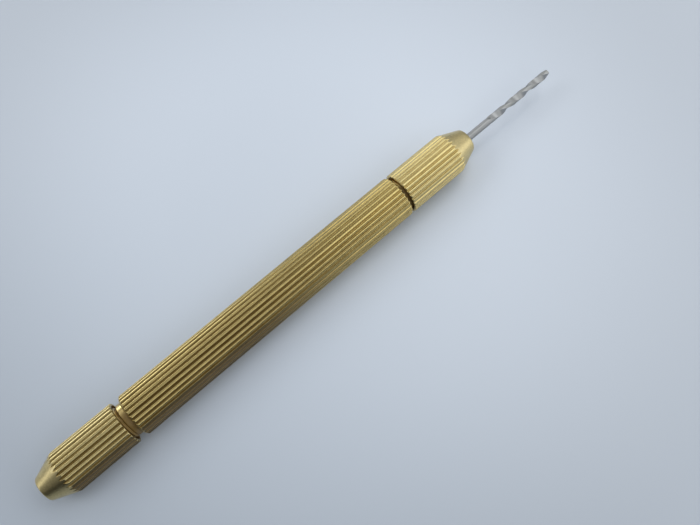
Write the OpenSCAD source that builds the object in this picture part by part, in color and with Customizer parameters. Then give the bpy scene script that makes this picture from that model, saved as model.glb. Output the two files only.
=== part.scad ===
// Precision hand drill: a double-ended pin vise of brass, with a twist drill in its front chuck.
// It lies on its side. The axis runs along X, the drill points to +X, and two ridges of the knurl
// touch the surface below. The origin is the middle of the footprint, on that surface.

/* [Handle] */
// Diameter over the crests of the knurl
handle_d = 9; // [8.9:0.1:12]
// Length of the knurled barrel
barrel_len = 66; // [40:1:100]
// Bore of the barrel, which both studs press into
barrel_bore_d = 6.4; // [6:0.1:6.8]
// Chamfer around both ends of the barrel
barrel_chamfer = 0.45; // [0.3:0.05:0.6]

/* [Knurl] */
// Number of straight grooves around the barrel and the caps
knurl_count = 28; // [20:2:40]
// Depth of a groove below the crests
knurl_depth = 0.3; // [0.15:0.05:0.35]
// Share of the pitch that a ridge's land takes up
land_share = 0.36; // [0.3:0.02:0.6]
// Fall of a land from its crest to its edges
land_crown = 0.02; // [0.01:0.01:0.1]
// Share of the pitch that a groove's floor takes up
floor_share = 0.1; // [0.04:0.01:0.16]

/* [Nose caps] */
// Length of a cap over all
cap_len = 18; // [16.5:0.5:20]
// Length of the smooth cone at the nose
nose_len = 4.9; // [3.5:0.1:5.5]
// Diameter of the nose's end, before its edge is rounded
nose_d = 5; // [4.6:0.1:6]
// Radius of the nose's rounded edge
nose_edge_r = 0.6; // [0.2:0.05:0.7]
// Straight length of the hole in the nose
nose_land = 0.6; // [0.3:0.1:1.2]
// Chamfer on the rim around a cap's mouth
rim_chamfer = 0.15; // [0.05:0.05:0.2]
// Width of the open ring around the neck at a cap's mouth
mouth_gap = 0.4; // [0.2:0.05:0.45]
// Depth of that ring into the cap
mouth_depth = 0.9; // [0.4:0.1:2]

/* [Chuck studs] */
// Diameter over the thread of a neck
neck_d = 7; // [6.8:0.1:7.1]
// Length of a neck outside the barrel
neck_len = 11; // [9:0.5:12]
// Plain length of a neck beside the barrel
neck_shoulder = 0.9; // [0.5:0.1:2]
// Pitch of the thread
thread_pitch = 0.75; // [0.5:0.05:1]
// Depth of the thread
thread_depth = 0.34; // [0.2:0.02:0.4]
// Length of the plug that is pressed into the barrel
plug_len = 9; // [5:0.5:15]
// Bevel on the edges of a neck's end and of a plug
stud_bevel = 0.4; // [0.2:0.05:0.5]

/* [Collets] */
// Diameter of a collet's body
collet_d = 5; // [4.6:0.1:5.2]
// Length of a collet
collet_len = 14; // [12:0.5:15]
// Angle between a clamping cone and the axis
cone_angle = 20; // [15:1:30]
// Diameter of the way through the noses and the studs
passage_d = 3.4; // [3.3:0.05:3.5]
// Ledge by which a collet's tip is wider than the passage
tip_ledge = 0.15; // [0.05:0.05:0.25]
// Length of the gripping bore at each end of a collet
jaw_len = 4; // [2:0.5:5]
// Diameter of the hollow between the gripping bores
relief_d = 3.5; // [3.3:0.1:3.8]
// Width of a slit between two leaves
slit_w = 0.35; // [0.2:0.05:0.5]
// Length of a slit from the collet's end
slit_len = 6; // [4.5:0.5:6.5]
// Gripping bore at the inner end of the front collet
front_inner_grip_d = 3.2; // [2.5:0.1:3.2]
// Gripping bore at the outer end of the rear collet
rear_outer_grip_d = 2.4; // [1.6:0.1:3]
// Gripping bore at the inner end of the rear collet
rear_inner_grip_d = 0.8; // [0.6:0.1:2]

/* [Drill] */
// Diameter of the drill
bit_d = 1.6; // [0.8:0.1:2.4]
// Length of the drill over all
bit_len = 40; // [34:1:50]
// Length of the drill's fluted part
flute_len = 18; // [10:1:22]
// Length of one turn of the flutes
flute_lead = 12.2; // [8:0.1:14]
// Thickness of the web between the flutes
web_t = 0.3; // [0.2:0.05:0.4]
// Diameter of the round cut that makes a flute
flute_d = 1.6; // [1:0.1:1.8]
// Turn of the drill in its collet, counted from a flute that starts straight down
bit_turn = 125; // [0:5:180]
// Angle of the drill's point
point_angle = 118; // [90:1:140]
// Length of the drill outside the nose
bit_out = 24; // [23:0.5:28]

/* [Rest pose] */
// Gap between the barrel and the front cap, whose collet grips the drill
front_gap = 0.55; // [0.3:0.05:1.5]
// Gap between the barrel and the rear cap, which is screwed back a little
rear_gap = 1.65; // [1.1:0.05:4]

/* [Fits] */
// Radial gap between a neck and a cap, and around a collet
run_gap = 0.05; // [0.02:0.01:0.08]
// Radial gap around the drill in its collet
bit_gap = 0.02; // [0.01:0.01:0.04]
// Radial squeeze of a stud's plug in the barrel
press = 0.005; // [0.002:0.001:0.01]
// Gap that is left beyond a neck's end when its cap meets the barrel
neck_end_gap = 0.5; // [0.3:0.1:0.8]

/* [Hidden] */

brass = [0.79, 0.67, 0.38];
pale_brass = [0.84, 0.75, 0.50];
bright_steel = [0.62, 0.63, 0.65];

// Length by which a cut runs past the surface it opens
cut = 0.5;
// Facets of a round surface in the preview
round_facets = 96;

handle_r = handle_d / 2;
nose_r = nose_d / 2;
neck_r = neck_d / 2;
collet_r = collet_d / 2;
passage_r = passage_d / 2;
relief_r = relief_d / 2;
bit_r = bit_d / 2;
pocket_r = collet_r + run_gap;
cap_bore_r = neck_r + run_gap;
cap_bore_depth = neck_len + neck_end_gap;
plug_r = barrel_bore_d / 2 + press;

// A cone's surfaces lie run_gap apart, so one radius grows by this much at the same place
cone_gap = run_gap / cos(cone_angle);
tip_r = passage_r + tip_ledge;
collet_cone_len = (collet_r - tip_r) / tan(cone_angle);
// Way that a cone takes from the gap around a collet's tip down to the passage
lead_len = (tip_ledge + cone_gap) / tan(cone_angle);
// Way that a cone takes from the pocket's wall down to the passage
seat_cone_len = (pocket_r - passage_r) / tan(cone_angle);
// Depth of a collet's outer face below the end of its nose
collet_recess = nose_land + lead_len;
// Height of a seated collet's inner face above the barrel's end
seat_height = front_gap + cap_len - collet_recess - collet_len;

// The barrel is off centre by this much, because the drill sticks out at the front only
rear_reach = barrel_len / 2 + rear_gap + cap_len;
front_reach = barrel_len / 2 + front_gap + cap_len + bit_out;
barrel_x = (rear_reach - front_reach) / 2;

// Two crests stand on the surface, one on each side of the lowest groove
knurl_step = 360 / knurl_count;
axis_z = handle_r * cos(knurl_step / 2);

// Places across one pitch, from the middle of its ridge, and how far each lies below the crest
land_half = land_share / 2;
wall_end = 0.5 - floor_share / 2;
tooth = [
    [-wall_end, knurl_depth],
    [-land_half, land_crown],
    [-land_half / 2, land_crown / 4],
    [0, 0],
    [land_half / 2, land_crown / 4],
    [land_half, land_crown],
    [wall_end, knurl_depth]
];

function polar(r, angle) = [r * cos(angle), r * sin(angle)];

function knurl_points() = [
    for (k = [0 : knurl_count - 1])
        for (place = tooth)
            polar(handle_r - place[1], (k + 0.5 + place[0]) * knurl_step)
];

// Points of an arc in the plane of a profile, from one angle to another
function arc_points(centre, r, from, to, steps) = [
    for (i = [0 : steps])
        centre + polar(r, from + (to - from) * i / steps)
];

// Straight-knurled bar along Z, before its ends are turned
module knurled_bar(length) {
    linear_extrude(height = length) polygon(knurl_points());
}

// A turned shape from its half profile of [radius, height] points
module turned(profile) {
    rotate_extrude($fn = round_facets) polygon(profile);
}

// Puts a shape on the tool's axis, with z = 0 at the barrel's end and +Z outward
module at_end(turn) {
    translate([barrel_x, 0, axis_z])
        rotate([0, 0, turn])
            translate([barrel_len / 2, 0, 0])
                rotate([0, 90, 0])
                    children();
}

module at_front() {
    at_end(0) children();
}

module at_rear() {
    at_end(180) children();
}

// Knurled tube
module barrel_shape() {
    outer = handle_r - barrel_chamfer;
    difference() {
        intersection() {
            knurled_bar(barrel_len);
            turned([
                [0, 0],
                [outer, 0],
                [handle_r, barrel_chamfer],
                [handle_r, barrel_len - barrel_chamfer],
                [outer, barrel_len],
                [0, barrel_len]
            ]);
        }
        translate([0, 0, -cut])
            cylinder(h = barrel_len + 2 * cut, r = barrel_bore_d / 2, $fn = round_facets);
    }
}

// Crests and roots of a neck's thread, drawn as rings, up to the bevel at its end
thread_turns = floor((neck_len - neck_shoulder - stud_bevel) / thread_pitch);
crest_flat = thread_pitch / 8;
function thread_points() = [
    for (i = [0 : thread_turns - 1])
        for (place = [
            [neck_r, 0],
            [neck_r - thread_depth, thread_pitch / 2 - crest_flat],
            [neck_r - thread_depth, thread_pitch / 2],
            [neck_r, thread_pitch - crest_flat]
        ])
            [place[0], neck_shoulder + i * thread_pitch + place[1]]
];

// Neck with thread rings, plug, collet pocket with its conical seat, and the passage
module chuck_stud() {
    difference() {
        turned(concat(
            [[0, -plug_len], [plug_r - stud_bevel, -plug_len], [plug_r, stud_bevel - plug_len],
             [plug_r, 0], [neck_r, 0]],
            thread_points(),
            [[neck_r, neck_shoulder + thread_turns * thread_pitch],
             [neck_r, neck_len - stud_bevel],
             [neck_r - stud_bevel, neck_len],
             [0, neck_len]]
        ));
        turned([
            [0, -plug_len - cut],
            [passage_r, -plug_len - cut],
            [passage_r, seat_height - lead_len],
            [pocket_r, seat_height - lead_len + seat_cone_len],
            [pocket_r, neck_len + cut],
            [0, neck_len + cut]
        ]);
    }
}

// Reversible collet, slit into four leaves at each end, with z = 0 at its inner face
module collet(outer_grip_r, inner_grip_r) {
    difference() {
        turned([
            [inner_grip_r, 0],
            [tip_r, 0],
            [collet_r, collet_cone_len],
            [collet_r, collet_len - collet_cone_len],
            [tip_r, collet_len],
            [outer_grip_r, collet_len],
            [outer_grip_r, collet_len - jaw_len],
            [relief_r, collet_len - jaw_len - (relief_r - outer_grip_r)],
            [relief_r, jaw_len + (relief_r - inner_grip_r)],
            [inner_grip_r, jaw_len]
        ]);
        for (turn = [0, 90])
            rotate([0, 0, turn]) {
                translate([-collet_d, -slit_w / 2, collet_len - slit_len])
                    cube([2 * collet_d, slit_w, slit_len + cut]);
                rotate([0, 0, 45])
                    translate([-collet_d, -slit_w / 2, -cut])
                        cube([2 * collet_d, slit_w, slit_len + cut]);
            }
    }
}

// Outside of a cap: rim, plain length, cone and rounded nose, with z = 0 at the mouth
module cap_outline() {
    slope = atan2(handle_r - nose_r, nose_len);
    // The rounding touches the cone and the flat end
    edge_tangent = nose_edge_r * tan((90 - slope) / 2);
    edge_centre = [nose_r - edge_tangent, cap_len - nose_edge_r];
    turned(concat(
        [[0, 0], [handle_r - rim_chamfer, 0], [handle_r, rim_chamfer],
         [handle_r, cap_len - nose_len]],
        arc_points(edge_centre, nose_edge_r, slope, 90, 6),
        [[0, cap_len]]
    ));
}

// Inside of a cap: mouth ring, thread bore, collet chamber, clamping cone and nose hole
module cap_hollow() {
    cone_end = cap_len - nose_land;
    turned([
        [0, -cut],
        [cap_bore_r + mouth_gap, -cut],
        [cap_bore_r + mouth_gap, mouth_depth],
        [cap_bore_r, mouth_depth + mouth_gap],
        [cap_bore_r, cap_bore_depth],
        [pocket_r, cap_bore_depth + (cap_bore_r - pocket_r)],
        [pocket_r, cone_end - seat_cone_len],
        [passage_r, cone_end],
        [passage_r, cap_len + cut],
        [0, cap_len + cut]
    ]);
}

module nose_cap() {
    difference() {
        intersection() {
            knurled_bar(cap_len);
            cap_outline();
        }
        cap_hollow();
    }
}

// Cross-section of the fluted part
module flute_section() {
    flute_r = flute_d / 2;
    difference() {
        circle(r = bit_r, $fn = 32);
        for (side = [-1, 1])
            translate([side * (web_t / 2 + flute_r), 0])
                circle(r = flute_r, $fn = 32);
    }
}

// Twist drill with a plain shank, with z = 0 at the shank's end
module twist_drill() {
    shank_len = bit_len - flute_len;
    point_len = bit_r / tan(point_angle / 2);
    slices_per_turn = 36;
    cylinder(h = shank_len, r = bit_r, $fn = round_facets);
    intersection() {
        translate([0, 0, shank_len])
            linear_extrude(
                height = flute_len,
                twist = -360 * flute_len / flute_lead,
                slices = round(slices_per_turn * flute_len / flute_lead)
            )
                flute_section();
        turned([
            [0, shank_len],
            [bit_r + cut, shank_len],
            [bit_r + cut, bit_len - point_len - cut * point_len / bit_r],
            [0, bit_len]
        ]);
    }
}

module barrel() {
    color(brass)
        at_front()
            translate([0, 0, -barrel_len])
                barrel_shape();
}

module front_chuck_stud() {
    color(brass)
        at_front()
            chuck_stud();
}

module rear_chuck_stud() {
    color(brass)
        at_rear()
            chuck_stud();
}

module front_collet() {
    color(pale_brass)
        at_front()
            translate([0, 0, seat_height])
                collet(bit_r + bit_gap, front_inner_grip_d / 2);
}

module rear_collet() {
    color(pale_brass)
        at_rear()
            translate([0, 0, seat_height + rear_gap - front_gap])
                collet(rear_outer_grip_d / 2, rear_inner_grip_d / 2);
}

module front_nose_cap() {
    color(brass)
        at_front()
            translate([0, 0, front_gap])
                nose_cap();
}

module rear_nose_cap() {
    color(brass)
        at_rear()
            translate([0, 0, rear_gap])
                nose_cap();
}

module drill_bit() {
    color(bright_steel)
        at_front()
            translate([0, 0, front_gap + cap_len + bit_out - bit_len])
                rotate([0, 0, bit_turn])
                    twist_drill();
}

barrel();
front_chuck_stud();
rear_chuck_stud();
front_collet();
rear_collet();
front_nose_cap();
rear_nose_cap();
drill_bit();
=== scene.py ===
"""Precision hand drill: the looks of every piece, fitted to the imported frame.

Lengths are in millimetres up to the point where a mesh or a tree input is made, then in metres.
"""
import math

import bmesh
import bpy
from mathutils import Matrix, Vector


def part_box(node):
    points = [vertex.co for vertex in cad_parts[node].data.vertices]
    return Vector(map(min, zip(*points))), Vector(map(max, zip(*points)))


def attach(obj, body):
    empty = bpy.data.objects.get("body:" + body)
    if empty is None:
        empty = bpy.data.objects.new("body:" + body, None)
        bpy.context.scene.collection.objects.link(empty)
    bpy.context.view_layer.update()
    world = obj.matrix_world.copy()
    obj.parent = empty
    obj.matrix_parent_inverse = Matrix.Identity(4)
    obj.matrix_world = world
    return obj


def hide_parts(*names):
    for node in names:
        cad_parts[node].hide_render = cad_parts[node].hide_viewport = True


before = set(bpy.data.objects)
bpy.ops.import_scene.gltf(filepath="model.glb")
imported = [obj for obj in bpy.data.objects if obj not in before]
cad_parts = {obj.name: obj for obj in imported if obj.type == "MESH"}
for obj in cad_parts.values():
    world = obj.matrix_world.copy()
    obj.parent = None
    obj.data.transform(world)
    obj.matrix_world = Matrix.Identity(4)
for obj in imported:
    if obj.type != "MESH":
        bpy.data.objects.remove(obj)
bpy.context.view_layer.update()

MM = 0.001


def box_mm(node):
    """Lowest and highest corner of a CAD node, in millimetres."""
    low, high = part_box(node)
    return low / MM, high / MM


# Sizes that the frame gives

BARREL_LOW, BARREL_HIGH = box_mm("barrel")
CAP_LOW, CAP_HIGH = box_mm("front_nose_cap")
REAR_CAP_LOW, REAR_CAP_HIGH = box_mm("rear_nose_cap")
COLLET_LOW, COLLET_HIGH = box_mm("front_collet")
REAR_COLLET_HIGH = box_mm("rear_collet")[1]
STUD_LOW, STUD_HIGH = box_mm("front_chuck_stud")
DRILL_LOW, DRILL_HIGH = box_mm("drill_bit")

AXIS_Z = (BARREL_LOW.z + BARREL_HIGH.z) / 2
BARREL_LEN = BARREL_HIGH.x - BARREL_LOW.x
CAP_LEN = CAP_HIGH.x - CAP_LOW.x
FRONT_GAP = CAP_LOW.x - BARREL_HIGH.x
REAR_GAP = BARREL_LOW.x - REAR_CAP_HIGH.x
COLLET_LEN = COLLET_HIGH.x - COLLET_LOW.x
NECK_LEN = STUD_HIGH.x - BARREL_HIGH.x
MIDDLE_X = (BARREL_LOW.x + BARREL_HIGH.x) / 2
PLUG_LEN = BARREL_HIGH.x - STUD_LOW.x
FRONT_SEAT = COLLET_LOW.x - BARREL_HIGH.x
REAR_SEAT = BARREL_LOW.x - REAR_COLLET_HIGH.x

# The knurl: two crests touch the floor, one on each side of the lowest groove

KNURL_COUNT = 28
KNURL_SAMPLES = 16
KNURL_DEPTH = 0.3
LAND_SHARE = 0.36
LAND_CROWN = 0.02
FLOOR_SHARE = 0.1
WORN_EDGE = 0.06
# Each ridge differs a little: the greatest tilt of its land, and shares of its width and depth
LAND_TILT = 0.1
RIDGE_SPREAD = 0.14
# The turned finish takes over from the knurl's as the knurl's radius passes the turned one by this
TURNED_BLEND = 0.04
# The crowned crests stay this much below the CAD's, to keep inside its box
CROWN_ROOM = 0.01
CREST_R = (BARREL_HIGH.z - AXIS_Z) / math.cos(math.pi / KNURL_COUNT) - CROWN_ROOM
# The outline of the whole bar stands this much over the crests, so that it cuts only their ends
BLANK_OVER = 0.08
BLANK_R = CREST_R + BLANK_OVER

# Turned sizes, the same as the solids'

BARREL_BORE_R = 3.2
BARREL_CHAMFER = 0.45
NOSE_LEN = 4.9
NOSE_R = 2.5
NOSE_EDGE = 0.6
NOSE_LAND = 0.6
RUN_GAP = 0.05
MOUTH_GAP = 0.4
MOUTH_DEPTH = 0.9
RIM_EDGE = 0.15
NECK_R = 3.5
NECK_SHOULDER = 0.9
THREAD_PITCH = 0.75
THREAD_DEPTH = 0.34
NECK_END_GAP = 0.5
STUD_BEVEL = 0.4
COLLET_R = 2.5
PASSAGE_R = 1.7
TIP_R = 1.85
CONE_ANGLE = math.radians(20)
JAW_LEN = 4.0
RELIEF_R = 1.75
SLIT_W = 0.35
SLIT_LEN = 6.0
BIT_GAP = 0.02
FRONT_INNER_GRIP_R = 1.6
REAR_OUTER_GRIP_R = 1.2
REAR_INNER_GRIP_R = 0.4
CAP_BORE_R = NECK_R + RUN_GAP
MOUTH_R = CAP_BORE_R + MOUTH_GAP
POCKET_R = COLLET_R + RUN_GAP
CONES_APART = CAP_HIGH.x - REAR_CAP_LOW.x - 2 * NOSE_LEN
SEAT_CONE_LEN = (POCKET_R - PASSAGE_R) / math.tan(CONE_ANGLE)
LEAD_LEN = (TIP_R - PASSAGE_R + RUN_GAP / math.cos(CONE_ANGLE)) / math.tan(CONE_ANGLE)

BIT_R = (DRILL_HIGH.z - DRILL_LOW.z) / 2
FLUTE_LEN = 18.0
FLUTE_LEAD = 12.2
FLUTE_RUNOUT = 2.2
FLUTE_R = 0.8
BIT_TURN = 125 / 360
WEB_HALF = 0.15
POINT_ANGLE = math.radians(118)


# Node graphs


def find_socket(sockets, key):
    """A socket by its index, or the first one in use that has the name."""
    if isinstance(key, int):
        return sockets[key]
    return next(socket for socket in sockets if socket.name == key and socket.enabled)


class Field:
    """An output socket, which Python expressions combine by adding Math nodes."""

    def __init__(self, graph, socket):
        self.graph = graph
        self.socket = socket

    def output(self, key):
        return Field(self.graph, find_socket(self.socket.node.outputs, key))

    def math(self, operation, *others):
        return self.graph.math(operation, self, *others)

    def __add__(self, other):
        return self.math("ADD", other)

    def __radd__(self, other):
        return self.graph.math("ADD", other, self)

    def __sub__(self, other):
        return self.math("SUBTRACT", other)

    def __rsub__(self, other):
        return self.graph.math("SUBTRACT", other, self)

    def __mul__(self, other):
        return self.math("MULTIPLY", other)

    def __rmul__(self, other):
        return self.graph.math("MULTIPLY", other, self)

    def __truediv__(self, other):
        return self.math("DIVIDE", other)

    def __pow__(self, other):
        return self.math("POWER", other)

    def __lt__(self, other):
        return self.math("LESS_THAN", other)

    def __gt__(self, other):
        return self.math("GREATER_THAN", other)

    def __abs__(self):
        return self.math("ABSOLUTE")

    def floor(self):
        return self.math("FLOOR")

    def fract(self):
        return self.math("FRACT")

    def sin(self):
        return self.math("SINE")

    def cos(self):
        return self.math("COSINE")

    def least(self, other):
        return self.math("MINIMUM", other)

    def most(self, other):
        return self.math("MAXIMUM", other)

    def step(self, low, high, smooth=True):
        """0 below low, 1 above high, and a smooth or straight climb between."""
        kind = "SMOOTHSTEP" if smooth else "LINEAR"
        ends = {"Value": self, "From Min": low, "From Max": high, "To Min": 0.0, "To Max": 1.0}
        return self.graph.add("ShaderNodeMapRange", {"interpolation_type": kind}, ends)


class Graph:
    """Adds nodes to one node tree."""

    def __init__(self, tree):
        self.tree = tree

    def add(self, kind, settings=None, sockets=None, output=0):
        """A node of that type, with its settings made first and then its sockets set or linked."""
        node = self.tree.nodes.new(kind)
        for name, value in (settings or {}).items():
            setattr(node, name, value)
        for key, value in (sockets or {}).items():
            self.feed(find_socket(node.inputs, key), value)
        if len(node.outputs) == 0:
            return None
        return Field(self, find_socket(node.outputs, output))

    def feed(self, socket, value):
        if isinstance(value, Field):
            self.tree.links.new(value.socket, socket)
        else:
            socket.default_value = value

    def math(self, operation, *values):
        return self.add("ShaderNodeMath", {"operation": operation}, dict(enumerate(values)))

    def vector(self, x, y, z):
        return self.add("ShaderNodeCombineXYZ", {}, {"X": x, "Y": y, "Z": z})

    def parts(self, vector):
        split = self.add("ShaderNodeSeparateXYZ", {}, {"Vector": vector})
        return split.output("X"), split.output("Y"), split.output("Z")


# Geometry trees

# Points this near each other are one, edges this short are dropped, and a point this near a
# bore's radius is on its wall
WELD = 0.001
SLIVER = 0.0001
ON_WALL = 0.002


class ShapeTree(Graph):
    """A Geometry Nodes tree with named inputs besides its geometry."""

    def __init__(self, name, inputs):
        super().__init__(bpy.data.node_groups.new(name, "GeometryNodeTree"))
        face = self.tree.interface
        face.new_socket("Geometry", in_out="INPUT", socket_type="NodeSocketGeometry")
        for label, kind in inputs.items():
            face.new_socket(label, in_out="INPUT", socket_type="NodeSocket" + kind)
        face.new_socket("Geometry", in_out="OUTPUT", socket_type="NodeSocketGeometry")
        self.entry = self.tree.nodes.new("NodeGroupInput")

    def __getitem__(self, label):
        return Field(self, self.entry.outputs[label])

    def close(self, geometry):
        """Ends the tree with real geometry in the piece's material."""
        real = self.add("GeometryNodeRealizeInstances", {}, {"Geometry": geometry})
        sockets = {"Geometry": real, "Material": self["Material"]}
        dressed = self.add("GeometryNodeSetMaterial", {}, sockets)
        self.add("NodeGroupOutput", {}, {"Geometry": dressed})

    def wrap(self, columns):
        """A grid with a row for each point of the outline, and fields for each vertex's place.

        An outline point holds its place along the axis in X and its radius in Y. The fields are
        both of these and the vertex's column, from 0 to the number of columns.
        """
        outline = self["Geometry"]
        rows = self.count(outline)
        sizes = {"Vertices X": rows, "Vertices Y": columns + 1}
        grid = self.add("GeometryNodeMeshGrid", {}, sizes)
        index = self.add("GeometryNodeInputIndex")
        row = ((index + 0.5) / (columns + 1)).floor()
        column = index - row * (columns + 1)
        axial, radius, _ = self.parts(self.sample(outline, row))
        return grid, axial, radius, column

    def count(self, outline):
        """The number of an outline's points."""
        settings = {"component": "MESH"}
        return self.add("GeometryNodeAttributeDomainSize", settings, {"Geometry": outline})

    def sample(self, outline, index):
        """The position of one of an outline's points."""
        place = self.add("GeometryNodeInputPosition")
        sockets = {"Geometry": outline, "Value": place, "Index": index}
        return self.add("GeometryNodeSampleIndex", {"data_type": "FLOAT_VECTOR"}, sockets)

    def around_axis(self, geometry, axial, radius, turn):
        """Puts each vertex at its turn round the axis, counted from straight down."""
        angle = turn * math.tau
        height = self["Axis Height"] - radius * angle.cos()
        place = self.vector(axial, radius * angle.sin(), height)
        return self.add("GeometryNodeSetPosition", {}, {"Geometry": geometry, "Position": place})

    def store(self, geometry, name, value):
        """Keeps a value on the mesh, for the material to read."""
        sockets = {"Geometry": geometry, "Name": name, "Value": value}
        return self.add("GeometryNodeStoreNamedAttribute", {"data_type": "FLOAT"}, sockets)

    def chance(self, index, seed):
        """A steady random number from -1 to 1 for each index."""
        sockets = {"Min": -1.0, "Max": 1.0, "ID": index, "Seed": seed}
        return self.add("FunctionNodeRandomValue", {"data_type": "FLOAT"}, sockets, "Value")

    def weld(self, geometry):
        """Joins the grid's seams."""
        sockets = {"Geometry": geometry, "Distance": WELD * MM}
        return self.add("GeometryNodeMergeByDistance", {}, sockets)

    def screw(self, axial, turn):
        """How far a right-hand thread's ridge stands up at a place, from 0 in its root to 1."""
        flat = 0.1
        wave = abs((axial / self["Thread Pitch"] - turn).fract() * 2.0 - 1.0)
        fade = self["Thread Pitch"] * 0.7
        start = (axial - self["Thread Start"]).step(0.0, fade)
        end = (self["Thread End"] - axial).step(0.0, fade)
        return wave.step(flat, 1.0 - flat, smooth=False), start * end


THREAD_INPUTS = {
    "Thread Pitch": "Float",
    "Thread Depth": "Float",
    "Thread Start": "Float",
    "Thread End": "Float",
}


def knurled_tree():
    """Turns an outline, cuts straight grooves into its outside and a screw thread into its bore."""
    tree = ShapeTree("knurled_turning", {
        "Axis Height": "Float",
        "Grooves": "Int",
        "Samples": "Int",
        "Crest Radius": "Float",
        "Groove Depth": "Float",
        "Land Share": "Float",
        "Land Crown": "Float",
        "Land Tilt": "Float",
        "Ridge Spread": "Float",
        "Floor Share": "Float",
        "Worn Edge": "Float",
        "Bore Radius": "Float",
        **THREAD_INPUTS,
        "Material": "Material",
    })
    grid, axial, radius, column = tree.wrap(tree["Grooves"] * tree["Samples"])

    # Columns crowd towards the groove, whose middle is at both ends of a pitch
    pitches = column / tree["Samples"]
    across = pitches.fract() - 0.5
    crowding = 0.35
    across = across + (across * math.tau).sin() * (crowding / math.tau)
    turn = (pitches.floor() + 0.5 + across) / tree["Grooves"]

    ridge = pitches.floor().math("MODULO", tree["Grooves"])
    wider = tree.chance(ridge, 1) * tree["Ridge Spread"] + 1.0
    deeper = tree.chance(ridge, 2) * tree["Ridge Spread"] + 1.0
    off_crest = abs(across)
    land_edge = tree["Land Share"] / 2 * wider
    share = (off_crest / land_edge).least(1.0)
    lean = tree.chance(ridge, 3) * tree["Land Tilt"]
    lower_side = (across * lean > 0) * 2.0 - 1.0
    tilt = abs(lean) * land_edge * (lower_side * share + 1.0)
    land_width = tree["Crest Radius"] * (math.tau / KNURL_COUNT)
    fall = share ** 2 * tree["Land Crown"] + tilt * land_width
    wall = off_crest.step(land_edge, 0.5 - tree["Floor Share"] / 2)
    groove = wall * (tree["Groove Depth"] * deeper - tree["Land Crown"])
    knurl_radius = tree["Crest Radius"] - fall - groove
    outside = tree.math("SMOOTH_MIN", radius, knurl_radius, tree["Worn Edge"])

    in_bore = abs(radius - tree["Bore Radius"]) < ON_WALL * MM
    ridge, run = tree.screw(axial, turn)
    cut = in_bore * run * ridge * tree["Thread Depth"]

    shaped = tree.around_axis(grid, axial, outside + cut, turn)
    shaped = tree.store(shaped, "groove", wall * (knurl_radius < radius))
    turned = (knurl_radius - radius).step(-TURNED_BLEND / 2 * MM, TURNED_BLEND * MM)
    shaped = tree.store(shaped, "turned", turned)
    tree.close(tree.weld(shaped))
    return tree.tree


def threaded_tree():
    """Turns an outline and cuts a screw thread into its outside."""
    tree = ShapeTree("threaded_turning", {
        "Axis Height": "Float",
        "Columns": "Int",
        "Neck Radius": "Float",
        **THREAD_INPUTS,
        "Material": "Material",
    })
    grid, axial, radius, column = tree.wrap(tree["Columns"])
    turn = column / tree["Columns"]
    ridge, run = tree.screw(axial, turn)
    depth = (1.0 - ridge) * run * tree["Thread Depth"]
    cut_radius = tree["Neck Radius"] - depth
    shaped = tree.around_axis(grid, axial, radius.least(cut_radius), turn)
    shaped = tree.store(shaped, "groove", (1.0 - ridge) * run * (radius > cut_radius))
    tree.close(tree.weld(shaped))
    return tree.tree


def slit_tree():
    """Turns an outline and saws crossed slits into both ends, half a quarter turn apart."""
    tree = ShapeTree("slit_turning", {
        "Axis Height": "Float",
        "Columns": "Int",
        "Slit Width": "Float",
        "Slit Length": "Float",
        "Blade Reach": "Float",
        "Low End": "Float",
        "High End": "Float",
        "Low Turn": "Float",
        "High Turn": "Float",
        "Material": "Material",
    })
    grid, axial, radius, column = tree.wrap(tree["Columns"])
    turn = column / tree["Columns"]
    body = tree.weld(tree.around_axis(grid, axial, radius, turn))
    tool = tree.add("GeometryNodeJoinGeometry")
    for end, start_turn in (("Low End", "Low Turn"), ("High End", "High Turn")):
        size = tree.vector(tree["Slit Length"] * 2, tree["Blade Reach"], tree["Slit Width"])
        blade = tree.add("GeometryNodeMeshCube", {}, {"Size": size})
        pair = tree.add("GeometryNodeMeshLine", {}, {"Count": 2, "Offset": (0.0, 0.0, 0.0)})
        place = tree.vector(tree[end], 0.0, tree["Axis Height"])
        pair = tree.add("GeometryNodeSetPosition", {}, {"Geometry": pair, "Position": place})
        quarter = tree.add("GeometryNodeInputIndex") * (math.pi / 2)
        turned = tree.vector(tree[start_turn] + quarter, 0.0, 0.0)
        sockets = {"Points": pair, "Instance": blade, "Rotation": turned}
        blades = tree.add("GeometryNodeInstanceOnPoints", {}, sockets)
        tree.tree.links.new(blades.socket, tool.socket.node.inputs[0])
    tool = tree.add("GeometryNodeRealizeInstances", {}, {"Geometry": tool})
    settings = {"operation": "DIFFERENCE", "solver": "EXACT"}
    sawn = tree.add("GeometryNodeMeshBoolean", settings, {"Mesh 1": body, "Mesh 2": tool})
    tree.close(sawn)
    return tree.tree


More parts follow.
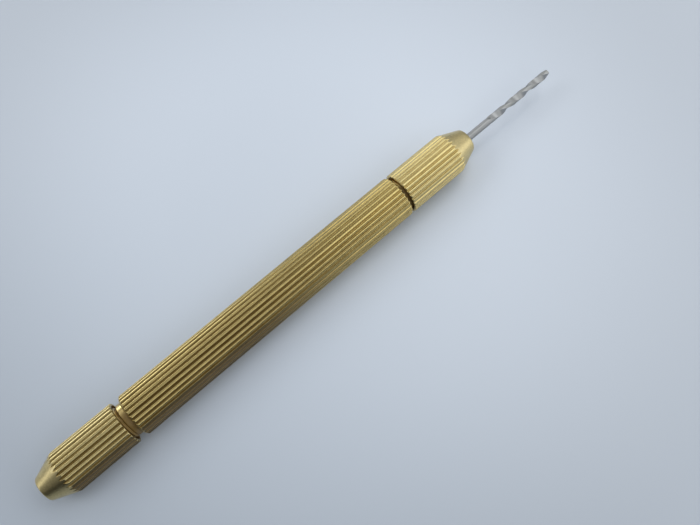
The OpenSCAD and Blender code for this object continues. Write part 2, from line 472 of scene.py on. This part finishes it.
def fluted_tree():
    """Sweeps a section along the axis with a steady twist, from a round shank to a cone."""
    tree = ShapeTree("fluted_drill", {
        "Axis Height": "Float",
        "Section": "Object",
        "Drill Radius": "Float",
        "Flute Start": "Float",
        "Runout": "Float",
        "Lead": "Float",
        "Turn At Start": "Float",
        "Point X": "Float",
        "Point Slope": "Float",
        "Material": "Material",
    })
    section = tree.add("GeometryNodeObjectInfo", {}, {"Object": tree["Section"]}, "Geometry")
    sides = tree.count(section)
    grid, axial, scale, column = tree.wrap(sides)
    u, v, _ = tree.parts(tree.sample(section, column.math("MODULO", sides)))

    # The flutes start shallow: the section grows out of the shank's circle
    reach = (u * u + v * v).math("SQRT")
    fluted = (axial - tree["Flute Start"]).step(0.0, tree["Runout"])
    grow = fluted + (1.0 - fluted) * (tree["Drill Radius"] / reach)
    radius = reach * grow * scale
    along = axial.least(tree["Point X"] - radius * tree["Point Slope"])
    twist = (along - tree["Flute Start"]).most(0.0) / tree["Lead"] + tree["Turn At Start"]
    turn = v.math("ARCTAN2", u) / math.tau + twist
    shaped = tree.around_axis(grid, along, radius, turn)
    # The lands lie at the drill's radius or just below it, and the flutes well inside
    land = (reach / tree["Drill Radius"]).step(0.9, 0.99)
    shaped = tree.store(shaped, "groove", fluted * (1.0 - land))
    tree.close(tree.weld(shaped))
    return tree.tree


# Outlines


def rounded(corners, closed=True):
    """Points along an outline of (axial, radius, edge, spacing) corners.

    Each corner is eased over its edge length on both sides, and spacing is the longest step on
    the way to the next corner.
    """
    ease_steps = 5
    most_of_run = 0.45
    count = len(corners)
    places = [Vector(corner[:2]) for corner in corners]
    points = []
    last_end = None
    for i, (_, _, edge, spacing) in enumerate(corners):
        here = places[i]
        before = places[i - 1] if closed or i > 0 else here
        after = places[(i + 1) % count] if closed or i < count - 1 else here
        shorter_run = min((before - here).length, (after - here).length)
        reach = min(edge, most_of_run * shorter_run)
        start = here + (before - here).normalized() * reach
        end = here + (after - here).normalized() * reach
        if last_end is not None:
            points += between(last_end, start, last_spacing)
        if reach > 0:
            for k in range(ease_steps + 1):
                t = k / ease_steps
                points.append(start * (1 - t) ** 2 + here * (2 * t * (1 - t)) + end * t ** 2)
        else:
            points.append(here)
        last_end = end
        last_spacing = spacing
    if closed:
        points += between(last_end, points[0], last_spacing)
        points.append(points[0])
    return [tuple(point) for point in points]


def between(start, end, spacing):
    """The points that divide a straight run, without its ends."""
    parts = max(1, math.ceil((end - start).length / spacing))
    return [start.lerp(end, k / parts) for k in range(1, parts)]


def outline_object(name, points):
    """A helper object whose vertices are the outline's points, in metres."""
    mesh = bpy.data.meshes.new(name)
    mesh.from_pydata([(x * MM, y * MM, 0.0) for x, y in points], [], [])
    helper = bpy.data.objects.new(name, mesh)
    bpy.context.scene.collection.objects.link(helper)
    return helper


def at_front(points):
    """Moves an outline from the barrel's end, along the axis, to its place at the front."""
    return [(BARREL_HIGH.x + x, r) for x, r in points]


def at_rear(points):
    """The same at the rear, where the outline runs towards -X."""
    return [(BARREL_LOW.x - x, r) for x, r in points]


def spot(place, x):
    """Where a distance from the barrel's end comes to lie at the front or at the rear."""
    return place([(x, 0)])[0][0]


# Fine rows where a turned face cuts the knurl, coarse rows elsewhere
FINE = 0.045
COARSE = 2.0
# Rows in one pitch of the thread, in a cap's bore and on a neck
BORE_ROWS = 9
NECK_ROWS = 12


def barrel_outline():
    start = -BARREL_LEN
    chamfer_end = BARREL_CHAMFER + BLANK_R - CREST_R
    face_r = CREST_R - BARREL_CHAMFER
    return rounded([
        (start, BARREL_BORE_R, 0.08, COARSE),
        (start, face_r, 0.12, FINE),
        (start + chamfer_end, BLANK_R, 0.0, COARSE),
        (-chamfer_end, BLANK_R, 0.0, FINE),
        (0.0, face_r, 0.12, COARSE),
        (0.0, BARREL_BORE_R, 0.08, COARSE),
    ])


def cap_outline(gap):
    """The whole section of a cap whose mouth stands gap away from the barrel."""
    slope = NOSE_LEN / (CREST_R - NOSE_R)
    over = BLANK_R - CREST_R
    cone_start = CAP_LEN - NOSE_LEN - over * slope
    # The cone's rows stay fine until they are this much inside the grooves' floors
    spare = 0.1
    scallops_end = cone_start + (KNURL_DEPTH + over + spare) * slope
    scallops_end_r = CREST_R - KNURL_DEPTH - spare
    bore_end = NECK_LEN + NECK_END_GAP
    cone_top = CAP_LEN - NOSE_LAND
    thread_row = THREAD_PITCH / BORE_ROWS
    points = rounded([
        (0.0, MOUTH_R, 0.05, COARSE),
        (0.0, CREST_R - RIM_EDGE, 0.08, FINE),
        (RIM_EDGE + over, BLANK_R, 0.0, COARSE),
        (cone_start, BLANK_R, 0.0, FINE),
        (scallops_end, scallops_end_r, 0.0, 0.5),
        (CAP_LEN, NOSE_R, NOSE_EDGE, COARSE),
        (CAP_LEN, PASSAGE_R, 0.12, COARSE),
        (cone_top, PASSAGE_R, 0.05, COARSE),
        (cone_top - SEAT_CONE_LEN, POCKET_R, 0.1, COARSE),
        (bore_end + CAP_BORE_R - POCKET_R, POCKET_R, 0.05, COARSE),
        (bore_end, CAP_BORE_R, 0.0, thread_row),
        (MOUTH_DEPTH + MOUTH_GAP, CAP_BORE_R, 0.0, COARSE),
        (MOUTH_DEPTH, MOUTH_R, 0.05, COARSE),
    ])
    return [(x + gap, r) for x, r in points]


def stud_outline():
    seat = FRONT_GAP + CAP_LEN - NOSE_LAND - LEAD_LEN - COLLET_LEN
    thread_row = THREAD_PITCH / NECK_ROWS
    return rounded([
        (-PLUG_LEN, PASSAGE_R, 0.1, COARSE),
        (-PLUG_LEN, BARREL_BORE_R - STUD_BEVEL, 0.05, COARSE),
        (STUD_BEVEL - PLUG_LEN, BARREL_BORE_R, 0.05, COARSE),
        (0.0, BARREL_BORE_R, 0.0, COARSE),
        (0.0, NECK_R, 0.06, thread_row),
        (NECK_LEN - STUD_BEVEL, NECK_R, 0.05, FINE),
        (NECK_LEN, NECK_R - STUD_BEVEL, 0.04, COARSE),
        (NECK_LEN, POCKET_R, 0.06, COARSE),
        (seat - LEAD_LEN + SEAT_CONE_LEN, POCKET_R, 0.1, COARSE),
        (seat - LEAD_LEN, PASSAGE_R, 0.1, COARSE),
    ])


def collet_outline(outer_grip, inner_grip):
    """A collet's section from its inner face at 0 to its outer face."""
    cone = (COLLET_R - TIP_R) / math.tan(CONE_ANGLE)
    return rounded([
        (0.0, inner_grip, 0.06, COARSE),
        (0.0, TIP_R, 0.06, COARSE),
        (cone, COLLET_R, 0.15, COARSE),
        (COLLET_LEN - cone, COLLET_R, 0.15, COARSE),
        (COLLET_LEN, TIP_R, 0.06, COARSE),
        (COLLET_LEN, outer_grip, 0.06, COARSE),
        (COLLET_LEN - JAW_LEN, outer_grip, 0.0, COARSE),
        (COLLET_LEN - JAW_LEN - (RELIEF_R - outer_grip), RELIEF_R, 0.0, COARSE),
        (JAW_LEN + RELIEF_R - inner_grip, RELIEF_R, 0.0, COARSE),
        (JAW_LEN, inner_grip, 0.0, COARSE),
    ])


def drill_stations():
    """Places along the drill with the share of its section that each has, from pole to pole."""
    tail_bevel = 0.2
    shank_row = 7.0
    flute_row = 0.12
    start = DRILL_LOW.x
    flute_start = DRILL_HIGH.x - FLUTE_LEN
    edge_scale = 1 - tail_bevel / BIT_R
    points = [(start, 0.0), (start, edge_scale / 2), (start, edge_scale), (start + tail_bevel, 1.0)]
    points += [(start + shank_row * k, 1.0) for k in (1, 2)]
    rows = math.ceil(FLUTE_LEN / flute_row)
    points += [(flute_start + FLUTE_LEN * k / rows, 1.0) for k in range(rows + 1)]
    point_rings = 6
    points += [(DRILL_HIGH.x, 1.0 - k / point_rings) for k in range(1, point_rings + 1)]
    # The share is kept as a radius would be, so it is scaled back to a plain number in metres
    return [(x, share / MM) for x, share in points]


def flute_section():
    """The drill's section: two round flutes, and two lands with a raised margin at the lead."""
    centre = WEB_HALF + FLUTE_R
    open_half = math.acos((BIT_R ** 2 + centre ** 2 - FLUTE_R ** 2) / (2 * BIT_R * centre))
    edge = Vector((BIT_R * math.cos(open_half) - centre, BIT_R * math.sin(open_half)))
    arc_half = math.pi - math.atan2(edge.y, edge.x)
    flute_steps = 14
    land_steps = 12
    relief = 0.025
    margin = 0.16
    half = []
    for k in range(flute_steps):
        angle = math.pi + arc_half * (1 - 2 * k / flute_steps)
        half.append(Vector((centre + FLUTE_R * math.cos(angle), -FLUTE_R * math.sin(angle))))
    for k in range(land_steps + 1):
        share = k / land_steps
        angle = open_half + (math.pi - 2 * open_half) * share
        r = BIT_R if share > 1 - margin else BIT_R - relief
        half.append(Vector((r * math.cos(angle), r * math.sin(angle))))
    return [tuple(p) for p in half] + [tuple(-p) for p in half]


# Finishes


def attribute(graph, name):
    return graph.add("ShaderNodeAttribute", {"attribute_name": name}, {}, "Fac")


def mix_colour(graph, share, low, high):
    """Runs from the low colour to the high one as share goes from 0 to 1."""
    sockets = {"Factor": share, "A": low, "B": high}
    return graph.add("ShaderNodeMix", {"data_type": "RGBA"}, sockets, "Result")


def tint(graph, colour, shade):
    """Multiplies a colour by a number."""
    settings = {"data_type": "RGBA", "blend_type": "MULTIPLY"}
    sockets = {"Factor": 1.0, "A": colour, "B": graph.vector(shade, shade, shade)}
    return graph.add("ShaderNodeMix", settings, sockets, "Result")


def noise(graph, place, scale, detail=2.0, rough=0.5):
    """Noise from 0 to 1 whose cells are about 1/scale wide, in metres."""
    sockets = {"Vector": place, "Scale": scale, "Detail": detail, "Roughness": rough}
    return graph.add("ShaderNodeTexNoise", {}, sockets)


def streaks(graph, place, along, across):
    """Noise whose cells are about 1/along long and 1/across wide, in metres."""
    sockets = {"Vector": place, "Scale": (along, across, across)}
    return noise(graph, graph.add("ShaderNodeMapping", {}, sockets), 1.0)


def turning_rings(graph, way, detail):
    """Noise that changes with one distance only, and so makes rings on a turned surface."""
    sockets = {"W": way, "Scale": 1.0, "Detail": detail}
    return graph.add("ShaderNodeTexNoise", {"noise_dimensions": "1D"}, sockets)


def new_finish(name):
    """A material with one Principled shader, and its graph."""
    material = bpy.data.materials.new(name)
    material.use_nodes = True
    graph = Graph(material.node_tree)
    shader = material.node_tree.nodes["Principled BSDF"]
    return material, graph, shader


def set_bump(graph, shader, height, strength, distance):
    """Raises the surface by height times distance, in metres."""
    sockets = {"Height": height, "Strength": strength, "Distance": distance}
    graph.feed(shader.inputs["Normal"], graph.add("ShaderNodeBump", {}, sockets))


def axis_distance(graph, place):
    """How far a place is from the tool's axis, and its X and Y."""
    x, y, z = graph.parts(place)
    up = z - AXIS_Z * MM
    return (y * y + up * up).math("SQRT"), x, y


# Cells in a metre of brass: its clouds, its grain, the marks of drawing and of the tool's chatter,
# each along the axis and across it, and the turning rings
BRASS_CLOUDS = 260
BRASS_GRAIN = 9000
BRASS_DRAWN = (60, 3500)
BRASS_CHATTER = (5000, 2600)
BRASS_RINGS = 9000
# The same in the drill's steel
STEEL_CLOUDS = 500
STEEL_GRAIN = 12000
STEEL_RINGS = 22000
# How high the marks stand on each
BRASS_MARKS = 0.012
STEEL_MARKS = 0.006
# The grooves are dirty and darkened with painted shade behind the first place, and mostly clean and
# lighter ahead of the second
DIRTY_SHADED_X = -22
CLEAN_LIT_X = 16
CLEAN_LIT_SHARE = 0.75
# The painted shade on the knurl's flank that faces -Y: its end towards the front, its edge in Y,
# its share and how far that edge wanders
FLANK_SHADE_END_X = 12
FLANK_SHADE_EDGE = 3.55
FLANK_SHADE_FULL = 4.0
FLANK_SHADE_SHARE = 0.9
FLANK_SHADE_BLOTCH = 0.3
# Painted shade on a neck: full and gone in Y, full and gone beyond the barrel's end, and how far
# these edges wander
NECK_SHADE_FULL = -0.5
NECK_SHADE_EDGE = 1.0
NECK_SHADE_REACH = 1.9
NECK_SHADE_END = 2.9
NECK_SHADE_BLOTCH = 1.2


def flank_shade_share(cloud, x, y):
    """The rear of a knurl is darkened by painted shade along the flank that faces -Y."""
    on_flank = (cloud * FLANK_SHADE_BLOTCH * MM - y).step(FLANK_SHADE_EDGE * MM, FLANK_SHADE_FULL * MM)
    at_front_end = x.step(DIRTY_SHADED_X * MM, FLANK_SHADE_END_X * MM)
    return on_flank * (1.0 - at_front_end) * FLANK_SHADE_SHARE


def neck_shade(cloud, x, y):
    """A neck carries painted shade where no cap covers it, apart from its flank that faces +Y, left
    bright as a painted highlight.
    """
    blotch = (cloud - 0.5) * NECK_SHADE_BLOTCH * MM
    past_barrel = abs(x - MIDDLE_X * MM) - BARREL_LEN / 2 * MM
    covered = (past_barrel + blotch).step(NECK_SHADE_REACH * MM, NECK_SHADE_END * MM)
    bright_flank = (y + blotch).step(NECK_SHADE_FULL * MM, NECK_SHADE_EDGE * MM)
    return (1.0 - bright_flank) * (1.0 - covered)


def brass_finish(
        name, crest, groove_dirt_and_shade, turned_face=None, inner_radius=0.0, roughness=0.2, gap_shade=None):
    """Satin brass with a fine grain, turning rings, grooves darkened by dirt and painted shade, and
    a brown film of painted shade inside.

    A knurled piece gives the colour of its turned faces, which are paler than its crests, and takes
    painted shade on the rear of its flank that faces -Y. A neck gives its painted shade, which lies
    where no cap covers it, apart from the flank that faces +Y, which is left bright as a painted
    highlight.
    """
    material, graph, shader = new_finish(name)
    place = graph.add("ShaderNodeTexCoord", {}, {}, "Object")
    radius, x, y = axis_distance(graph, place)
    cloud = noise(graph, place, BRASS_CLOUDS, detail=3)
    grain = noise(graph, place, BRASS_GRAIN, detail=3, rough=0.6)
    drawn = streaks(graph, place, *BRASS_DRAWN)
    chatter = streaks(graph, place, *BRASS_CHATTER)
    rings = turning_rings(graph, (x + radius) * BRASS_RINGS, 3.0)
    groove = attribute(graph, "groove")
    turned = attribute(graph, "turned") if turned_face else 1.0
    knurled = 1.0 - turned

    base = mix_colour(graph, turned, crest, turned_face or crest)
    cleaner_and_lighter = x.step(DIRTY_SHADED_X * MM, CLEAN_LIT_X * MM) * CLEAN_LIT_SHARE
    # Grooves darken with dirt and painted shade, most towards the rear
    dirt_and_shade = (groove.step(0.04, 0.6) * (0.7 + cloud * 0.5) * (1.0 - cleaner_and_lighter)).least(1.0)
    colour = mix_colour(graph, dirt_and_shade, base, groove_dirt_and_shade)
    # Inside the bores and mouths: a duller brown film of painted shade, lightened towards the front
    # as painted bounce light
    between_cones = abs(x - MIDDLE_X * MM) < CONES_APART / 2 * MM
    inside = (radius < inner_radius * MM) * between_cones
    inside_colour = mix_colour(graph, cleaner_and_lighter, SHADED_INSIDE_BRASS, LIT_INSIDE_BRASS)
    colour = mix_colour(graph, inside, colour, inside_colour)
    # Painted shade on the rear of the flank that faces -Y
    flank_shade = flank_shade_share(cloud, x, y) * knurled * (1.0 - inside)
    colour = mix_colour(graph, flank_shade, colour, FLANK_SHADE)
    shaded_film = inside
    # A neck's painted shade in its gap, with a painted highlight on the flank that faces +Y
    if gap_shade:
        shaded_film = neck_shade(cloud, x, y)
        colour = mix_colour(graph, shaded_film, colour, gap_shade)
    shade = 0.9 + cloud * 0.14 + (drawn - 0.5) * 0.12 + (chatter - 0.5) * 0.6
    graph.feed(shader.inputs["Base Color"], tint(graph, colour, shade))

    uneven = (cloud - 0.5) * 0.12 + (grain - 0.5) * 0.1
    rough = roughness + turned * 0.1 + uneven + dirt_and_shade * 0.15 + shaded_film * 0.15
    graph.feed(shader.inputs["Roughness"], rough)
    graph.feed(shader.inputs["Metallic"], 1.0 - shaded_film * 0.85)
    cut_marks = (drawn * 0.5 + chatter * 2.5) * knurled + rings * turned * 0.8
    height = grain * (0.3 + knurled * 0.5) + cut_marks
    set_bump(graph, shader, height, 0.5, BRASS_MARKS * MM)
    return material


def steel_finish():
    """Ground tool steel, with flutes that are darker than the lands and a little straw coloured."""
    material, graph, shader = new_finish("ground_steel")
    place = graph.add("ShaderNodeTexCoord", {}, {}, "Object")
    x, _, _ = graph.parts(place)
    cloud = noise(graph, place, STEEL_CLOUDS, detail=3)
    grain = noise(graph, place, STEEL_GRAIN, detail=2)
    rings = turning_rings(graph, x * STEEL_RINGS, 2.0)
    groove = attribute(graph, "groove")
    share = groove * 0.85 + cloud * 0.15
    graph.feed(shader.inputs["Base Color"], mix_colour(graph, share, STEEL_LAND, STEEL_FLUTE))
    graph.feed(shader.inputs["Roughness"], 0.27 + cloud * 0.14 + groove * 0.1)
    shader.inputs["Metallic"].default_value = 1.0
    set_bump(graph, shader, grain * 0.5 + rings * (1.0 - groove), 0.4, STEEL_MARKS * MM)
    return material


# Pieces

# Faces around a neck and around a collet
NECK_COLUMNS = 120
COLLET_COLUMNS = 96


def grow(name, tree, outline, values):
    """Runs a tree on an outline and returns the result as a plain mesh object."""
    carrier = outline_object(name + "_outline", outline)
    modifier = carrier.modifiers.new(name, "NODES")
    modifier.node_group = tree
    inputs = [item for item in tree.interface.items_tree if item.in_out == "INPUT"]
    sockets = {item.name: item.identifier for item in inputs}
    for label, value in values.items():
        modifier[sockets[label]] = value
    depsgraph = bpy.context.evaluated_depsgraph_get()
    mesh = bpy.data.meshes.new_from_object(carrier.evaluated_get(depsgraph), depsgraph=depsgraph)
    carrier.modifiers.remove(modifier)
    bpy.data.objects.remove(carrier)
    mesh.name = name
    piece = bpy.data.objects.new(name, mesh)
    bpy.context.scene.collection.objects.link(piece)
    return piece


def finish_mesh(piece, sharp_degrees):
    """Turns every face outward and shades the mesh smooth up to an angle."""
    mesh = piece.data
    work = bmesh.new()
    work.from_mesh(mesh)
    bmesh.ops.dissolve_degenerate(work, edges=work.edges, dist=SLIVER * MM)
    bmesh.ops.recalc_face_normals(work, faces=work.faces)
    work.to_mesh(mesh)
    work.free()
    mesh.shade_smooth()
    mesh.set_sharp_from_angle(angle=math.radians(sharp_degrees))


def seat(piece, body, node, slot, sharp_degrees=35):
    """Finishes a piece, ties it to its body and lets it stand for its CAD node."""
    finish_mesh(piece, sharp_degrees)
    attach(piece, body)
    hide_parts(node)


def knurl_values(material):
    return {
        "Axis Height": AXIS_Z * MM,
        "Grooves": KNURL_COUNT,
        "Samples": KNURL_SAMPLES,
        "Crest Radius": CREST_R * MM,
        "Groove Depth": KNURL_DEPTH * MM,
        "Land Share": LAND_SHARE,
        "Land Crown": LAND_CROWN * MM,
        "Land Tilt": LAND_TILT,
        "Ridge Spread": RIDGE_SPREAD,
        "Floor Share": FLOOR_SHARE,
        "Worn Edge": WORN_EDGE * MM,
        "Material": material,
    }


def thread_values(start, end):
    """A thread between two places on the axis, given in either order."""
    low, high = sorted((start, end))
    return {
        "Thread Pitch": THREAD_PITCH * MM,
        "Thread Depth": THREAD_DEPTH * MM,
        "Thread Start": low * MM,
        "Thread End": high * MM,
    }


def make_barrel(tree, material):
    values = {**knurl_values(material), "Bore Radius": 0.0, "Thread Pitch": THREAD_PITCH * MM}
    piece = grow("knurled_barrel", tree, at_front(barrel_outline()), values)
    seat(piece, "handle", "barrel", "knurled_brass")


def make_cap(tree, material, end, place, gap):
    points = place(cap_outline(gap))
    bore_start = spot(place, gap + MOUTH_DEPTH + MOUTH_GAP)
    bore_end = spot(place, gap + NECK_LEN + NECK_END_GAP)
    values = {
        **knurl_values(material),
        **thread_values(bore_start, bore_end),
        "Bore Radius": CAP_BORE_R * MM,
    }
    piece = grow(end + "_cap", tree, points, values)
    seat(piece, end + "_cap", end + "_nose_cap", "cap_brass")


def make_stud(tree, material, end, place):
    points = place(stud_outline())
    start = spot(place, NECK_SHOULDER)
    stop = spot(place, NECK_LEN + THREAD_PITCH)
    values = {
        "Axis Height": AXIS_Z * MM,
        "Columns": NECK_COLUMNS,
        "Neck Radius": NECK_R * MM,
        **thread_values(start, stop),
        "Material": material,
    }
    piece = grow(end + "_threaded_stud", tree, points, values)
    seat(piece, "handle", end + "_chuck_stud", "turned_brass")


def make_collet(tree, material, end, place, inner_face, outer_grip, inner_grip):
    """A collet whose inner face is that far outside the barrel's end."""
    points = place([(inner_face + x, r) for x, r in collet_outline(outer_grip, inner_grip)])
    inner = spot(place, inner_face)
    outer = spot(place, inner_face + COLLET_LEN)
    half_quarter = math.pi / 4
    values = {
        "Axis Height": AXIS_Z * MM,
        "Columns": COLLET_COLUMNS,
        "Slit Width": SLIT_W * MM,
        "Slit Length": SLIT_LEN * MM,
        "Blade Reach": 4 * COLLET_R * MM,
        "Low End": min(inner, outer) * MM,
        "High End": max(inner, outer) * MM,
        "Low Turn": half_quarter if inner < outer else 0.0,
        "High Turn": 0.0 if inner < outer else half_quarter,
        "Material": material,
    }
    piece = grow(end + "_slit_collet", tree, points, values)
    seat(piece, end + "_collet", end + "_collet", "collet_brass", sharp_degrees=25)


def make_drill(tree, material):
    section = outline_object("flute_section", flute_section())
    values = {
        "Axis Height": AXIS_Z * MM,
        "Section": section,
        "Drill Radius": BIT_R * MM,
        "Flute Start": (DRILL_HIGH.x - FLUTE_LEN) * MM,
        "Runout": FLUTE_RUNOUT * MM,
        "Lead": FLUTE_LEAD * MM,
        "Turn At Start": BIT_TURN,
        "Point X": DRILL_HIGH.x * MM,
        "Point Slope": 1 / math.tan(POINT_ANGLE / 2),
        "Material": material,
    }
    piece = grow("twist_drill", tree, drill_stations(), values)
    bpy.data.objects.remove(section)
    seat(piece, "drill", "drill_bit", "drill_steel")


# Colours of the metals, with the reflection of white light at a right angle
CREST_BRASS = (0.60, 0.47, 0.19, 1.0)
CAP_CREST_BRASS = (0.65, 0.53, 0.245, 1.0)
# The groove colours are dirt and painted shade
GROOVE_BRASS = (0.22, 0.14, 0.04, 1.0)
CAP_GROOVE_BRASS = (0.32, 0.225, 0.075, 1.0)
TURNED_BRASS = (0.61, 0.50, 0.25, 1.0)
# Painted shade inside the bores and mouths, and the lighter painted bounce light there towards the
# front
SHADED_INSIDE_BRASS = (0.42, 0.27, 0.105, 1.0)
LIT_INSIDE_BRASS = (0.88, 0.66, 0.38, 1.0)
# Painted shade on a knurl's flank that faces -Y
FLANK_SHADE = (0.15, 0.11, 0.06, 1.0)
NECK_BRASS = (0.60, 0.45, 0.19, 1.0)
# Painted shade on a neck in its gap
NECK_SHADE_BROWN = (0.22, 0.135, 0.034, 1.0)
THREAD_BRASS = (0.30, 0.19, 0.07, 1.0)
COLLET_BRASS = (0.62, 0.52, 0.27, 1.0)
STEEL_LAND = (0.335, 0.335, 0.338, 1.0)
STEEL_FLUTE = (0.20, 0.215, 0.165, 1.0)

# The painted shade inside goes this much past a bore's and a mouth's wall, so that it takes in
# their edges
BORE_EDGE = 0.05
MOUTH_EDGE = 0.03

barrel_brass = brass_finish(
    "knurled_brass", CREST_BRASS, GROOVE_BRASS, TURNED_BRASS, BARREL_BORE_R + BORE_EDGE)
cap_brass = brass_finish(
    "cap_brass", CAP_CREST_BRASS, CAP_GROOVE_BRASS, TURNED_BRASS, MOUTH_R + MOUTH_EDGE)
neck_brass = brass_finish(
    "thread_brass", NECK_BRASS, THREAD_BRASS, roughness=0.15, gap_shade=NECK_SHADE_BROWN)
collet_brass = brass_finish("collet_brass", COLLET_BRASS, GROOVE_BRASS)
drill_steel = steel_finish()

knurled_shape = knurled_tree()
threaded_shape = threaded_tree()
slit_shape = slit_tree()

make_barrel(knurled_shape, barrel_brass)
make_cap(knurled_shape, cap_brass, "front", at_front, FRONT_GAP)
make_cap(knurled_shape, cap_brass, "rear", at_rear, REAR_GAP)
make_stud(threaded_shape, neck_brass, "front", at_front)
make_stud(threaded_shape, neck_brass, "rear", at_rear)
make_collet(
    slit_shape, collet_brass, "front", at_front, FRONT_SEAT, BIT_R + BIT_GAP, FRONT_INNER_GRIP_R)
make_collet(
    slit_shape, collet_brass, "rear", at_rear, REAR_SEAT, REAR_OUTER_GRIP_R, REAR_INNER_GRIP_R)
make_drill(fluted_tree(), drill_steel)


# Floor, light and camera


FLOOR_REACH = 4000
FLOOR_FAR = (0.760, 0.820, 0.915, 1.0)
FLOOR_NEAR = (0.472, 0.530, 0.610, 1.0)
FLOOR_ROUGHNESS = 0.25
# The floor's painted shade lifts along this direction, from the first of two places to the second
LIT_TOWARDS_X = 0.85
LIT_TOWARDS_Y = 0.53
NEAR_PLACE = -130
FAR_PLACE = 52
# The pool of light around the tool: its middle, how far it is full and where its fall ends
POOL_X = 8
POOL_Y = 16
POOL_FULL = 28
POOL_END = 93
POOL_FALL = 0.22


def make_floor():
    """A pale floor with a painted pool of light around the tool and painted shade towards the side
    where the camera stands.
    """
    mesh = bpy.data.meshes.new("floor")
    reach = FLOOR_REACH * MM
    corners = [(-reach, -reach, 0), (reach, -reach, 0), (reach, reach, 0), (-reach, reach, 0)]
    mesh.from_pydata(corners, [], [(0, 1, 2, 3)])
    floor = bpy.data.objects.new("floor", mesh)
    bpy.context.scene.collection.objects.link(floor)
    material, graph, shader = new_finish("pale_floor")
    place = graph.add("ShaderNodeTexCoord", {}, {}, "Object")
    x, y, _ = graph.parts(place)
    # Painted shade that deepens towards the camera's side, and a painted pool of light around the
    # tool
    less_shaded = (x * LIT_TOWARDS_X + y * LIT_TOWARDS_Y).step(NEAR_PLACE * MM, FAR_PLACE * MM)
    from_pool = ((x - POOL_X * MM) ** 2 + (y - POOL_Y * MM) ** 2).math("SQRT")
    pooled = 1.0 - from_pool.step(POOL_FULL * MM, POOL_END * MM) * POOL_FALL
    colour = mix_colour(graph, less_shaded, FLOOR_NEAR, FLOOR_FAR)
    graph.feed(shader.inputs["Base Color"], tint(graph, colour, pooled))
    shader.inputs["Roughness"].default_value = FLOOR_ROUGHNESS
    mesh.materials.append(material)


def heading(azimuth, elevation):
    """A direction from the tool, with azimuth in degrees from +X towards +Y."""
    turn = math.radians(azimuth)
    lift = math.radians(elevation)
    level = math.cos(lift)
    return Vector((math.cos(turn) * level, math.sin(turn) * level, math.sin(lift)))


LIGHT_COLOUR = (0.95, 0.98, 1.0, 1.0)


def make_world():
    """A room that is bright ahead of the drill and along the far wall, and dark at the rear."""
    world = bpy.data.worlds.new("studio")
    bpy.context.scene.world = world
    world.use_nodes = True
    graph = Graph(world.node_tree)
    towards = graph.add("ShaderNodeTexCoord", {}, {}, "Generated")

    def glow(azimuth, elevation, full, none, strength):
        """Full strength within an angle of a heading, falling to 0 at a wider one, in degrees."""
        sockets = {0: towards, 1: heading(azimuth, elevation)}
        near = graph.add("ShaderNodeVectorMath", {"operation": "DOT_PRODUCT"}, sockets, "Value")
        return near.step(math.cos(math.radians(none)), math.cos(math.radians(full))) * strength

    def window(azimuth, strength):
        return glow(azimuth, 55, 8, 38, strength)

    def small_window(azimuth, elevation, strength):
        return glow(azimuth, elevation, 5, 20, strength)

    def wall(azimuth, strength):
        return glow(azimuth, 24, 8, 32, strength)

    def low_strip(azimuth, strength):
        return glow(azimuth, 4, 5, 22, strength)

    ahead = window(0, 1.6) + wall(0, 0.3)
    ceiling = glow(0, 90, 10, 36, 0.5) + window(180, 0.15)
    far_windows = small_window(140, 40, 2.7) + small_window(95, 42, 1.0) + glow(62, 32, 4, 18, 0.6)
    far_wall = wall(45, 0.65) + wall(135, 0.3) + wall(180, 0.15)
    far_strip = low_strip(112, 2.1) + low_strip(157, 1.0)
    far_sills = glow(95, 3, 4, 14, 3.3) + glow(65, 8, 4, 16, 1.2)
    far_side = far_windows + far_wall + far_strip + far_sills
    near_wall = wall(-45, 1.4) + low_strip(-22, 1.0) + low_strip(-67, 0.6)
    near_window = glow(-100, 44, 4, 20, 1.3)
    background = world.node_tree.nodes["Background"]
    background.inputs["Color"].default_value = LIGHT_COLOUR
    strength = ahead + ceiling + far_side + near_wall + near_window
    graph.feed(background.inputs["Strength"], strength)


# The camera's place, from the photograph's perspective
CAMERA_TARGET = Vector((4.92, -4.21, AXIS_Z)) * MM
CAMERA_DISTANCE = 139.7 * MM
CAMERA_AZIMUTH = math.radians(31.07)
CAMERA_ELEVATION = math.radians(69.65)
CAMERA_ROLL = math.radians(-10.51)
CAMERA_LENS = 36.91
CAMERA_CLIP = 5 * MM


def make_camera():
    """Azimuth 0 looks along +Y and turns towards +X; elevation is the height above the horizon."""
    level = math.cos(CAMERA_ELEVATION)
    forward = Vector((
        math.sin(CAMERA_AZIMUTH) * level,
        math.cos(CAMERA_AZIMUTH) * level,
        -math.sin(CAMERA_ELEVATION),
    ))
    level_right = forward.cross(Vector((0, 0, 1))).normalized()
    level_up = level_right.cross(forward)
    right = level_right * math.cos(CAMERA_ROLL) + level_up * math.sin(CAMERA_ROLL)
    up = right.cross(forward)
    data = bpy.data.cameras.new("camera")
    data.lens = CAMERA_LENS
    data.clip_start = CAMERA_CLIP
    camera = bpy.data.objects.new("camera", data)
    turn = Matrix((right, up, -forward)).transposed().to_4x4()
    camera.matrix_world = Matrix.Translation(CAMERA_TARGET - forward * CAMERA_DISTANCE) @ turn
    bpy.context.scene.collection.objects.link(camera)
    bpy.context.scene.camera = camera


make_floor()
make_world()
make_camera()
bpy.context.scene.view_settings.view_transform = "Standard"
